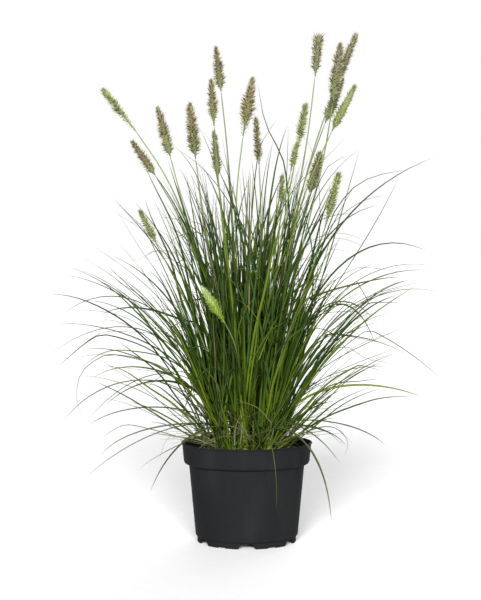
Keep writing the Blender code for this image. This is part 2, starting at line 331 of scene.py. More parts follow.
POT_OUTLINE = [
    # The underside of the base plate and the foot ring.
    (0.0, UNDERSIDE, 0.0),
    (FOOT_RADIUS - FOOT_WIDTH, UNDERSIDE, 0.001),
    (FOOT_RADIUS - FOOT_WIDTH, 0.0, 0.0006),
    (FOOT_RADIUS, 0.0, 0.0008),
    # The chamfer and the tapered wall.
    (FOOT_RADIUS, 0.0078, 0.0004),
    (0.0741, 0.0104, 0.0012),
    (0.0836, 0.1130, 0.0005),
    # The ledge and the rim band.
    (0.0839, 0.1133, 0.0002),
    (0.0898, 0.1135, 0.0024),
    (0.0912, 0.1175, 0.0022),
    (0.0933, 0.1412, 0.0006),
    # The lip.
    (0.0946, 0.1420, 0.0006),
    (0.0950, 0.1432, 0.0005),
    (0.0944, 0.1440, 0.0004),
    (0.0922, 0.1440, 0.0005),
    # The inside.
    (0.0897, 0.1165, 0.0020),
    (0.0823, 0.1120, 0.0010),
    (0.0713, 0.0120, 0.0020),
    (0.0660, 0.0088, 0.0010),
    (0.0, 0.0088, 0.0),
]

pot_bm = spun(rounded(POT_OUTLINE), POT_STEPS)
print("pot outline points:", len(rounded(POT_OUTLINE)), "faces:", len(pot_bm.faces))

# %% Drain gaps and notches
FEET = 6
GAP_TOP_WIDTH = 0.0155
GAP_FOOT_WIDTH = 0.0275
GAP_CORNER = 0.0022
NOTCH_TOP_WIDTH = 0.0125
NOTCH_FOOT_WIDTH = 0.0145
NOTCH_HEIGHT = 0.0018
NOTCH_CORNER = 0.0008
CUT_LENGTH = 0.012
CUT_BELOW = 0.002


def rounded_wedge(azimuth, height, top_width, foot_width, corner):
    """A wedge across the foot ring, wider below, with its upper corners rounded."""
    bm = bmesh.new()
    bmesh.ops.create_cube(bm, size=1.0)
    for vert in bm.verts:
        top = vert.co.z > 0
        vert.co.x = FOOT_RADIUS - FOOT_WIDTH / 2 + vert.co.x * CUT_LENGTH
        vert.co.y *= top_width if top else foot_width
        vert.co.z = height if top else -CUT_BELOW
    ridge = [edge for edge in bm.edges
             if all(vert.co.z > 0 for vert in edge.verts)
             and abs(edge.verts[0].co.y - edge.verts[1].co.y) < 1e-6]
    bmesh.ops.bevel(bm, geom=ridge, offset=corner, segments=4, profile=0.5, affect="EDGES", material=-1)
    bmesh.ops.rotate(bm, verts=bm.verts, matrix=Matrix.Rotation(math.radians(azimuth), 3, "Z"))
    bmesh.ops.recalc_face_normals(bm, faces=bm.faces)
    return bm


def cut_with(mesh, cutter_bm):
    """Take a cutter's closed shapes out of a mesh and return what is left."""
    cutter = bpy.data.objects.new("cutter", mesh_from(cutter_bm, "cutter"))
    body = bpy.data.objects.new("body", mesh)
    for obj in (cutter, body):
        bpy.context.collection.objects.link(obj)
    modifier = body.modifiers.new("cut", "BOOLEAN")
    modifier.operation = "DIFFERENCE"
    modifier.solver = "EXACT"
    modifier.object = cutter
    depsgraph = bpy.context.evaluated_depsgraph_get()
    result = bpy.data.meshes.new_from_object(body.evaluated_get(depsgraph))
    for obj in (cutter, body):
        bpy.data.objects.remove(obj)
    return result


all_cutters = bmesh.new()
for foot in range(FEET):
    azimuth = foot * 360.0 / FEET - 90.0
    gap = rounded_wedge(azimuth, UNDERSIDE, GAP_TOP_WIDTH, GAP_FOOT_WIDTH, GAP_CORNER)
    between = azimuth + 180.0 / FEET
    notch = rounded_wedge(between, NOTCH_HEIGHT, NOTCH_TOP_WIDTH, NOTCH_FOOT_WIDTH, NOTCH_CORNER)
    for wedge in (gap, notch):
        all_cutters.from_mesh(mesh_from(wedge, "wedge"))
pot_mesh = cut_with(mesh_from(pot_bm, "pot_turned"), all_cutters)
pot_mesh.name = "nursery_pot"
pot_mesh.shade_smooth()
pot_mesh.set_sharp_from_angle(angle=math.radians(32))
print("pot faces after cutting:", len(pot_mesh.polygons))

# %% [markdown]
# Black polypropylene isn't quite black: it is a dark charcoal with a soft sheen. The mould leaves a very
# fine grain that breaks up the gloss, and handling leaves faint dusty smears, so both colour and
# roughness wander a little.

# %% Pot finish


def pot_finish(start, shader):
    smear = start.scaled_noise(22.0, 5.0, (1.0, 1.0, 0.35)).between(0.45, 0.75)
    speck = start.scaled_noise(420.0, 2.0).between(0.66, 0.74)
    colour = smear.mix((0.0082, 0.0087, 0.0095), (0.0115, 0.0118, 0.0122))
    colour = (speck * 0.3).mix(colour, (0.035, 0.034, 0.031))
    grain = start.scaled_noise(1500.0, 2.0)
    feed(shader, Base_Color=colour, Roughness=0.56 + smear * 0.08, Normal=grain.bump(0.18, 0.0002),
         Specular_IOR_Level=0.02)


pot_mat = finish_material("pot_plastic", pot_finish)
add_piece("nursery_pot", pot_mesh, pot_mat, ["pot"])
print("pot plastic nodes:", len(pot_mat.node_tree.nodes))

# %% [markdown]
# ## Compost
# The root ball fills the pot and shows as a dark, crumbly top between the shoots. It is spun like the pot,
# with many rings across its top, and noise lifts and drops those rings into crumbs. A displacement map
# would give crumbs to the render only, and these have to be there in the exported mesh.

# %% Compost body
CROWN_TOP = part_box("compost")[1].z
COMPOST_EDGE = 0.129
COMPOST_RADIUS = 0.0886
CROWN_FOOT = 0.074
CROWN_SLOPE = 0.014
TOP_RINGS = 34


def compost_outline():
    outline = [Vector((0.0, 0.0095)), Vector((0.0640, 0.0095)), Vector((0.0694, 0.0135)),
               Vector((0.0808, 0.1115)), Vector((0.0882, 0.1180)), Vector((0.0884, COMPOST_EDGE - 0.002))]
    for ring in range(TOP_RINGS + 1):
        radius = COMPOST_RADIUS * (1.0 - ring / TOP_RINGS)
        slope = min(max((CROWN_FOOT - radius) / CROWN_SLOPE, 0.0), 1.0)
        outline.append(Vector((radius, COMPOST_EDGE + (CROWN_TOP - COMPOST_EDGE) * slope - 0.001)))
    return outline


def crumble(place):
    """Height of the crumbs at a place on the compost."""
    coarse = noise.noise(place * 90.0) * 0.0016
    fine = noise.noise(place * 260.0) * 0.0011
    return coarse + fine


compost_bm = spun(compost_outline(), 120)
for vert in compost_bm.verts:
    radius = vert.co.xy.length
    if vert.co.z > COMPOST_EDGE - 0.0015 and radius < COMPOST_RADIUS - 0.0001:
        vert.co.z += crumble(vert.co) - 0.0006
compost_mesh = mesh_from(compost_bm, "compost_top", 60)


def compost_finish(start, shader):
    crumbs = start.scaled_noise(170.0, 6.0)
    fibre = start.scaled_noise(60.0, 4.0, (1.0, 6.0, 1.0)).between(0.56, 0.66)
    colour = crumbs.between(0.3, 0.75).mix((0.010, 0.007, 0.005), (0.055, 0.034, 0.019))
    colour = (fibre * 0.5).mix(colour, (0.14, 0.09, 0.045))
    feed(shader, Base_Color=colour, Roughness=0.95, Normal=crumbs.bump(0.6, 0.0015), Specular_IOR_Level=0.2)


compost_mat = finish_material("compost", compost_finish)
add_piece("compost_top", compost_mesh, compost_mat, ["compost"])
print("compost faces:", len(compost_mesh.polygons))

# %% [markdown]
# Potting compost is topped with bark chips of a few millimetres. Each starts as a cube with its corners
# pushed about and its edges bevelled, and lies turned at random. They are small and many, so they are
# joined in one mesh.

# %% Bark chips
CHIPS = 190
CHIPS_REACH = 0.085
CROWN_SHOULDER = 0.072
CHIP_SINK = 0.0004
chips_random = random.Random(11)
chance = chips_random.uniform


def bark_chips():
    bm = bmesh.new()
    for _ in range(CHIPS):
        radius = CHIPS_REACH * math.sqrt(chance(0.02, 1.0))
        angle = chance(0.0, math.tau)
        size = chance(0.0012, 0.0042)
        shape = Vector((size * chance(0.9, 2.0), size, size * chance(0.25, 0.5)))
        lift = COMPOST_EDGE if radius > CROWN_SHOULDER else CROWN_TOP
        turn = Matrix.Rotation(chance(0, math.tau), 4, "Z")
        tilt = Matrix.Rotation(chips_random.gauss(0.0, 0.3), 4, "X")
        place = Matrix.Translation((radius * math.cos(angle), radius * math.sin(angle), lift - CHIP_SINK))
        chip = bmesh.ops.create_cube(bm, size=1.0)["verts"]
        for vert in chip:
            vert.co = Vector(a * b * chance(0.7, 1.15) for a, b in zip(vert.co, shape))
        bmesh.ops.transform(bm, matrix=place @ turn @ tilt, verts=chip)
        edges = list({edge for vert in chip for edge in vert.link_edges})
        bmesh.ops.bevel(bm, geom=edges, offset=size * 0.12, segments=1, profile=0.5, affect="EDGES",
                        material=-1)
    bmesh.ops.recalc_face_normals(bm, faces=bm.faces)
    return mesh_from(bm, "bark_chips", 50)


def bark_finish(start, shader):
    tone = start.scaled_noise(110.0, 3.0).between(0.35, 0.65)
    streak = start.scaled_noise(500.0, 3.0, (1.0, 0.2, 1.0))
    colour = tone.mix((0.045, 0.024, 0.012), (0.19, 0.105, 0.048))
    feed(shader, Base_Color=colour, Roughness=0.9, Normal=streak.bump(0.5, 0.0006))


add_piece("bark_chips", bark_chips(), finish_material("bark", bark_finish))
print("bark chips:", CHIPS)

# %% [markdown]
# ## Reading the plain solids
# Each stem, spike and blade of the frame is a row of rings. Starting from its free end and stepping from
# vertex to vertex along the edges reaches one whole ring at a time, and the middle of each ring is a point
# of its centreline. So the fine pieces follow the frame with no numbers repeated here.

# %% Centrelines
TIP_SHARPNESS = 0.95
TIP_LENGTH = 0.01
RING_SPACING = 0.001


def middle(verts):
    return sum((vert.co for vert in verts), Vector()) / len(verts)


def walk(first):
    """Centres of the rings met on the way from the first ring, for as long as rings keep their size."""
    seen = set(first)
    ring = set(first)
    centres = [middle(ring)]
    size = None
    while True:
        ring = {edge.other_vert(vert) for vert in ring for edge in vert.link_edges} - seen
        if not ring or (size and len(ring) != size):
            return centres
        size = len(ring)
        seen |= ring
        if (middle(ring) - centres[-1]).length > RING_SPACING:
            centres.append(middle(ring))


def stem_line(node):
    """A stem's or spike's centreline, from its foot to its top."""
    bm = merged(node)
    top = max(vert.co.z for vert in bm.verts)
    centres = walk([vert for vert in bm.verts if vert.co.z > top - 1e-5])
    bm.free()
    return np.array([tuple(point) for point in reversed(centres)])


def blade_lines(node):
    """The centrelines of a shoot's blades, foot first. A blade's tip is a vertex whose four neighbours lie
    well away from it and all in nearly the same direction."""
    bm = merged(node)
    lines = []
    for vert in bm.verts:
        steps = [edge.other_vert(vert).co - vert.co for edge in vert.link_edges]
        mean = sum(steps, Vector()) / len(steps)
        reach = sum(step.length for step in steps) / len(steps)
        if len(steps) == 4 and mean.length > TIP_SHARPNESS * reach and reach > TIP_LENGTH:
            lines.append(np.array([tuple(point) for point in reversed(walk([vert]))]))
    bm.free()
    return lines


STEMS = sorted(name for name in frame["nodes"] if name.startswith("culm_"))
SPIKES = sorted(name for name in frame["nodes"] if name.startswith("spike_"))
TILLERS = sorted(name for name in frame["nodes"] if name.startswith("tiller_"))
tiller_lines = {name: blade_lines(name) for name in TILLERS}
print("blades found:", sum(len(lines) for lines in tiller_lines.values()))
print("points along a stem:", {len(stem_line(name)) for name in STEMS},
      "along a spike:", {len(stem_line(name)) for name in SPIKES})

# %% [markdown]
# ## Bending a template along a line
# A blade, a stalk or a bristle is the same small shape repeated along different curves. Bmesh operators
# would slow down as a mesh grows, so the straight template is modelled once with them, and numpy bends one
# copy after another along its own centreline and joins the copies in one mesh. Each vertex also keeps where
# it lies along its blade, how far across it is, and a tone and dryness of its own blade. The materials read
# those as attributes. A stem isn't dry, so it keeps its node rings in the place of dryness, and a spike keeps
# how far up each spikelet sits.

# %% Templates and joining


def extend(bm, face, lift):
    """Extrude one face upwards and return the new one."""
    face = bmesh.ops.extrude_discrete_faces(bm, faces=[face])["faces"][0]
    bmesh.ops.translate(bm, verts=face.verts, vec=(0, 0, lift))
    return face


class Template:
    """A straight shape of unit length along Z, as arrays."""

    def __init__(self, section, steps):
        bm = bmesh.new()
        face = bm.faces.new([bm.verts.new((x, y, 0.0)) for x, y in section])
        for _ in range(steps - 1):
            face = extend(bm, face, 1.0 / steps)
        tip = bmesh.ops.poke(bm, faces=[face])["verts"]
        bmesh.ops.translate(bm, verts=tip, vec=(0, 0, 1.0 / steps))
        bmesh.ops.holes_fill(bm, edges=bm.edges)
        bmesh.ops.recalc_face_normals(bm, faces=bm.faces)
        self.keep(bm)
        self.steps = steps
        self.shares = np.linspace(0.0, 1.0, steps + 1)
        self.ring = np.rint(self.points[:, 2] * steps).astype(int)

    def keep(self, bm):
        """Copy the vertices and faces into arrays."""
        self.points = np.array([tuple(vert.co) for vert in bm.verts])
        self.counts = np.array([len(face.verts) for face in bm.faces])
        self.corners = np.array([vert.index for face in bm.faces for vert in face.verts])
        bm.free()


class Bundle:
    """Copies of templates, bent and joined in one mesh."""

    def __init__(self):
        self.points = []
        self.corners = []
        self.counts = []
        self.values = {"along": [], "across": [], "tone": [], "dry": []}
        self.used = 0

    def add(self, template, places, **values):
        self.points.append(places)
        self.corners.append(template.corners + self.used)
        self.counts.append(template.counts)
        for name, store in self.values.items():
            store.append(np.broadcast_to(values[name], len(places)))
        self.used += len(places)

    def mesh(self, name):
        points = np.concatenate(self.points).astype(np.float32)
        corners = np.concatenate(self.corners).astype(np.int32)
        counts = np.concatenate(self.counts)
        mesh = bpy.data.meshes.new(name)
        mesh.vertices.add(len(points))
        mesh.vertices.foreach_set("co", points.ravel())
        mesh.loops.add(len(corners))
        mesh.loops.foreach_set("vertex_index", corners)
        mesh.polygons.add(len(counts))
        starts = np.concatenate(([0], np.cumsum(counts)[:-1])).astype(np.int32)
        mesh.polygons.foreach_set("loop_start", starts)
        for name_of, store in self.values.items():
            layer = mesh.attributes.new(name_of, "FLOAT", "POINT")
            layer.data.foreach_set("value", np.concatenate(store).astype(np.float32))
        mesh.update(calc_edges=True)
        mesh.validate()
        mesh.shade_smooth()
        return mesh


BLADE = Template([(-1.0, 0.42), (0.0, -0.16), (1.0, 0.42), (0.0, 0.04)], 22)
STALK = Template([(math.cos(a), math.sin(a)) for a in np.arange(8) * math.tau / 8], 24)
print("blade template:", len(BLADE.points), "vertices")

# %% [markdown]
# A blade's course is a list of evenly spaced points. It comes from a few given points with a smooth curve
# through them, or from a lean at the foot and a droop towards the tip. Nature adds a wander, a twist and
# now and then a sharp fold.

# %% Lines in space
FINEST = 0.00018


def smooth_line(points, count):
    """Count + 1 points spaced evenly along a smooth curve through the given points."""
    points = np.asarray(points, dtype=float)
    ends = np.vstack([2 * points[0] - points[1], points, 2 * points[-1] - points[-2]])
    dense = []
    for a, b, c, d in zip(ends, ends[1:], ends[2:], ends[3:]):
        for t in np.linspace(0.0, 1.0, 12, endpoint=False):
            dense.append(0.5 * (2 * b + (c - a) * t + (2 * a - 5 * b + 4 * c - d) * t ** 2
                                + (3 * b - a - 3 * c + d) * t ** 3))
    dense.append(points[-1])
    dense = np.array(dense)
    run = np.concatenate(([0.0], np.cumsum(np.linalg.norm(np.diff(dense, axis=0), axis=1))))
    wanted = np.linspace(0.0, run[-1], count + 1)
    return np.stack([np.interp(wanted, run, dense[:, axis]) for axis in range(3)], axis=1)


def arch(foot, azimuth, length, lean, droop, sway, power):
    """The line of a blade that leaves its foot at a lean from the vertical and droops towards its tip."""
    t = BLADE.shares
    tilt = np.radians(lean + droop * t ** power)
    turn = np.radians(azimuth + sway * t)
    heading = np.stack([np.sin(tilt) * np.cos(turn), np.sin(tilt) * np.sin(turn), np.cos(tilt)], axis=1)
    run = (heading[1:] + heading[:-1]) / 2 * length / BLADE.steps
    return np.asarray(foot) + np.vstack([np.zeros(3), np.cumsum(run, axis=0)])


def bend(bundle, template, line, half_width, half_thick, twist, tone, dry):
    """Add one copy of a template that follows a line. Widths and twist are given for each ring."""
    ahead = np.gradient(line, axis=0)
    ahead /= np.linalg.norm(ahead, axis=1)[:, None]
    outward = line[-1] - line[0]
    level = np.array([-outward[1], outward[0], 1e-6])
    across = level - ahead * (ahead @ level)[:, None]
    across /= np.linalg.norm(across, axis=1)[:, None]
    normal = np.cross(across, ahead)
    turn = np.radians(twist)
    side = across * np.cos(turn)[:, None] + normal * np.sin(turn)[:, None]
    face = normal * np.cos(turn)[:, None] - across * np.sin(turn)[:, None]
    ring = template.ring
    places = (line[ring] + side[ring] * (template.points[:, :1] * half_width[ring, None])
              + face[ring] * (template.points[:, 1:2] * half_thick[ring, None]))
    bundle.add(template, places, along=ring / template.steps, across=template.points[:, 0],
               tone=tone, dry=dry)


def wandering(line, rng, size):
    """A line that strays a little from its course, more towards its tip."""
    t = np.linspace(0.0, 1.0, len(line))[:, None]
    waves = np.zeros_like(line)
    for turns in (1.0, 2.3):
        direction = np.array([rng.gauss(0.0, 1.0), rng.gauss(0.0, 1.0), rng.gauss(0.0, 0.4)])
        waves += direction * np.sin(t * turns * math.tau + rng.uniform(0.0, math.tau)) / turns
    return line + waves * size * t


def folded(line, rng):
    """A line with a sudden bend in it, past which the blade hangs down."""
    at = rng.randint(len(line) // 2, len(line) - 4)
    turn = Matrix.Rotation(math.radians(rng.uniform(30.0, 75.0)), 3,
                           Vector(line[-1] - line[0]).cross(Vector((0, 0, -1.0))).normalized())
    bent = line.copy()
    bent[at:] = line[at] + (line[at:] - line[at]) @ np.array(turn).T
    return bent


def add_blade(bundle, line, width, tone, dry, rng):
    """A grass blade: narrow at its foot, widest a quarter of the way up, drawn out to a fine tip."""
    line = smooth_line(line, BLADE.steps)
    t = BLADE.shares
    half = width / 2 * (0.62 + 0.38 * np.minimum(t / 0.25, 1.0)) * np.maximum(1.0 - t ** 2.6, 0.0) ** 0.8
    half = np.maximum(half, FINEST)
    twist = rng.uniform(-50.0, 50.0) + rng.uniform(-70.0, 70.0) * t
    bend(bundle, BLADE, line, half, half, twist, tone, dry)


# %% [markdown]
# ## Leaf finish
# A fountain grass blade is yellow-green where it leaves its sheath, deep green along most of its length and
# greyish near its tip, where it starts to dry. Fine ribs run its whole length beside a paler midrib. Colours
# and ribs follow the blade, so they read the attributes that the blades carry. Light also comes through a
# blade, so a little of a translucent shader, of one plain green, is mixed in.

# %% Leaf material
LET_THROUGH = 0.2


def leaf_finish(start, shader):
    along = start.attribute("along")
    across = start.attribute("across")
    tone = start.attribute("tone")
    dry = start.attribute("dry")
    patch = start.scaled_noise(26.0, 3.0)
    age = start.node("ValToRGB", {"stops": [
        (0.0, (0.115, 0.145, 0.006)), (0.12, (0.078, 0.110, 0.004)), (0.40, (0.031, 0.060, 0.006)),
        (0.78, (0.043, 0.069, 0.021)), (1.0, (0.115, 0.117, 0.056))]}, {"Fac": along + (patch - 0.5) * 0.2})
    own = start.node("ValToRGB", {"stops": [
        (0.0, (0.013, 0.039, 0.009)), (0.35, (0.024, 0.060, 0.010)), (0.65, (0.050, 0.092, 0.006)),
        (1.0, (0.200, 0.270, 0.010))]}, {"Fac": tone})
    colour = (0.45 + patch * 0.2).mix(age, own)
    straw = patch.between(0.3, 0.7).mix((0.15, 0.142, 0.064), (0.28, 0.27, 0.155))
    tip = along.between(0.88, 1.0) * 0.3
    colour = (dry + tip).between(0.0, 1.0).mix(colour, straw)
    midrib = 1.0 - (across * across).between(0.0, 0.05)
    colour = (midrib * 0.2).mix(colour, (0.12, 0.15, 0.05))
    ribs = start.node("Math", {"operation": "SINE"}, {0: across * 34.0})
    height = ribs * 0.5 + midrib
    feed(shader, Base_Color=colour, Roughness=0.5 + patch * 0.15, Normal=height.bump(0.35, 0.0001),
         Specular_IOR_Level=0.04)
    through = start.node("BsdfTranslucent", {}, {"Color": (0.062, 0.098, 0.020, 1.0)})
    output = shader.outputs[0].links[0].to_node
    mixed = start.node("MixShader", {}, {"Fac": LET_THROUGH})
    tree = start.tree
    tree.links.new(shader.outputs[0], mixed.socket.node.inputs[1])
    tree.links.new(through.socket, mixed.socket.node.inputs[2])
    tree.links.new(mixed.socket, output.inputs["Surface"])


leaf_mat = finish_material("leaf", leaf_finish)


def add_leaves(bundle, name, stands_for=()):
    """Add a piece that is made of blades."""
    add_piece(name, bundle.mesh(name), leaf_mat, stands_for)
    print(name, "vertices:", bundle.used)


print("leaf nodes:", len(leaf_mat.node_tree.nodes))

# %% [markdown]
# ## Shoots
# Grass grows as tillers: each shoot is a roll of sheaths from which a few blades part. The frame holds 16 of
# them. Each becomes a rolled sheath with finer blades on the frame's own centrelines.

# %% Sheaths
STANDING = CROWN_TOP - 0.002
BLADE_WIDTH = 0.0042
HANGING_FRONT_WIDTH = 0.0056
HANGING_SIDE_WIDTH = 0.0036
HANGING_TONE = 0.30
HANGING_DRYNESS = 0.24
leaf_random = random.Random(5)


def add_sheath(bundle, foot, top, tone, radius=0.0024):
    """The rolled sheaths at the foot of a shoot, from the compost to where the blades part."""
    line = smooth_line([foot, (np.asarray(foot) + top) / 2, top], STALK.steps)
    t = STALK.shares
    half = radius * (1.0 - 0.55 * t) * np.where(t > 0.97, 0.4, 1.0)
    bend(bundle, STALK, line, half, half * 0.8, t * 0.0, tone, 0.0)


def tone_of(rng):
    """Most blades are deep green and a few are bright."""
    return rng.uniform(0.0, 0.6) if rng.random() < 0.72 else rng.uniform(0.6, 1.0)


for name in TILLERS:
    bundle = Bundle()
    lines = tiller_lines[name]
    part = np.mean([line[0] for line in lines], axis=0)
    foot = part.copy()
    foot[:2] *= 0.93
    foot[2] = STANDING
    add_sheath(bundle, foot, part + (0, 0, 0.004), tone_of(leaf_random))
    for line in lines:
        start = foot + (part - foot) * 0.45
        hangs = line[-1][2] < POT_TOP
        if hangs:
            in_front = abs(line[-1][0]) < 0.06 and line[-1][1] < 0.0
            dry = HANGING_DRYNESS
            widest = HANGING_FRONT_WIDTH if in_front else HANGING_SIDE_WIDTH
        else:
            dry = 0.0 if leaf_random.random() < 0.9 else 0.5
            widest = BLADE_WIDTH
        width = leaf_random.uniform(0.75, 1.1) * widest
        tone = tone_of(leaf_random)
        add_blade(bundle, np.vstack([start, line]), width, HANGING_TONE if hangs else tone, dry, leaf_random)
    add_leaves(bundle, name.replace("tiller", "shoot"), [name])

# %% [markdown]
# ## The rest of the clump
# A real clump has over a hundred shoots. The ones in the middle stand nearly upright, and those nearer the
# edge lean out and arch over. A sunflower pattern spreads their feet evenly over the crown without rows.

# %% More shoots
TUFTS = 12
SUNFLOWER = math.radians(137.5)
CROWN = 0.053
fill_random = random.Random(21)
ROOM = 0.006
HEADROOM = 0.05
RIM_INSET = 0.002
RIM_REACH = 0.016
OVER_RIM = 0.003
MOST_LIFT = 0.03
FOLDED_SHARE = 0.07
BROAD_SHARE = 0.12
GREEN_SHARE = 0.96

# Each kind of shoot: how many, blades each, crown share (inner, outer), lean at the middle and at the edge,
# droop (least, most), blade length (least, most), blade width (least, most), sheath height (least, most).
KINDS = [
    ("upright", 74, 4, (0.0, 0.92), (1.0, 12.0), (4.0, 38.0), (0.19, 0.40), (0.0030, 0.0050), (0.04, 0.10)),
    ("arching", 28, 4, (0.45, 1.0), (11.0, 26.0), (20.0, 70.0), (0.19, 0.35), (0.0027, 0.0046), (0.03, 0.07)),
    ("skirt", 26, 3, (0.75, 1.08), (24.0, 46.0), (6.0, 66.0), (0.09, 0.24), (0.0019, 0.0038), (0.005, 0.02)),
]


def kept_inside(line):
    """A line, shortened until it stays in the clump's box."""
    least = np.array(CAD_BOX[0]) - (ROOM, ROOM, math.inf)
    most = np.array(CAD_BOX[1]) + (ROOM, ROOM, -HEADROOM)
    while (line < least).any() or (line > most).any():
        line = smooth_line(line[:-2], len(line) - 1)
    return line


def lift_over_rim(line):
    """A line, raised more and more with its distance from the axis, if it would pass through the rim."""
    reach = np.linalg.norm(line[:, :2], axis=1)
    near = np.clip(1.0 - np.abs(reach - LIP_RADIUS + RIM_INSET) / RIM_REACH, 0.0, 1.0)
    clearance = POT_TOP + OVER_RIM - line[:, 2]
    needed = (near * np.clip(clearance, 0.0, None)).max()
    if 0.0 < needed < MOST_LIFT:
        line = line + np.outer(np.clip(reach / LIP_RADIUS, 0.0, 1.0), (0, 0, needed))
    return line


def plant(kind, number, count, leaves, crown, leans, droops, lengths, widths, sheaths):
    """One shoot of the crown, with its leaves."""
    rng = fill_random
    share = math.sqrt(crown[0] ** 2 + (crown[1] ** 2 - crown[0] ** 2) * (number + 0.5) / count)
    angle = number * SUNFLOWER + rng.uniform(-0.3, 0.3) + len(kind)
    foot = np.array([CROWN * share * math.cos(angle), CROWN * share * math.sin(angle), STANDING])
    azimuth = math.degrees(angle) + rng.gauss(0.0, 28.0)
    if kind == "skirt" and math.sin(math.radians(azimuth)) < -0.8:
        leaves = 1
    lean = leans[0] + (leans[1] - leans[0]) * share + rng.uniform(-4.0, 4.0)
    outward = np.array([math.cos(math.radians(azimuth)), math.sin(math.radians(azimuth)), 0.0])
    tilt = math.radians(lean)
    sheath = rng.uniform(*sheaths)
    top = foot + (outward * math.sin(tilt) + np.array([0, 0, math.cos(tilt)])) * sheath
    bundle = tuft_bundles[int(angle / math.tau * TUFTS) % TUFTS]
    add_sheath(bundle, foot, top, tone_of(rng) ** 0.6, rng.uniform(0.0020, 0.0029))
    for _ in range(leaves):
        spread = azimuth + rng.gauss(0.0, 75.0 if kind == "upright" else 22.0)
        length = rng.uniform(*lengths)
        leaf_lean = abs(lean + rng.uniform(-4.0, 7.0))
        line = arch(foot + (top - foot) * 0.6, spread, length, leaf_lean, rng.uniform(*droops),
                    rng.uniform(-25.0, 25.0), power=rng.uniform(1.2, 2.6))
        line = wandering(line, rng, 0.003)
        if rng.random() < FOLDED_SHARE:
            line = folded(line, rng)
        broad = 1.5 if rng.random() < BROAD_SHARE else 1.0
        dry = 0.0 if rng.random() < GREEN_SHARE else rng.uniform(0.3, 0.8)
        line = lift_over_rim(kept_inside(line))
        add_blade(bundle, line, rng.uniform(*widths) * broad, tone_of(rng), dry, rng)


tuft_bundles = [Bundle() for _ in range(TUFTS)]
for kind, count, *rest in KINDS:
    for number in range(count):
        plant(kind, number, count, *rest)
for number, bundle in enumerate(tuft_bundles, start=1):
    add_leaves(bundle, f"tuft_{number:02d}")

# %% [markdown]
# ## Blades with a character of their own
# A pattern alone gives a clump that looks combed. Real ones have a few blades that hook over, cross the
# others or lie across the rim, so those are drawn one by one. Each is a few points seen from the front, from
# its foot to its tip, with how far back or forward its tip lies. A point nearer the viewer looks larger, so
# `lined_up` moves it to where it is seen at the intended place.

# %% Drawn blades


def lined_up(x, z, depth):
    """The place at a depth that lines up, for the viewer, with (x, 0, z)."""
    scale = (depth - EYE.y) / -EYE.y
    return (EYE.x + (x - EYE.x) * scale, depth, EYE.z + (z - EYE.z) * scale)


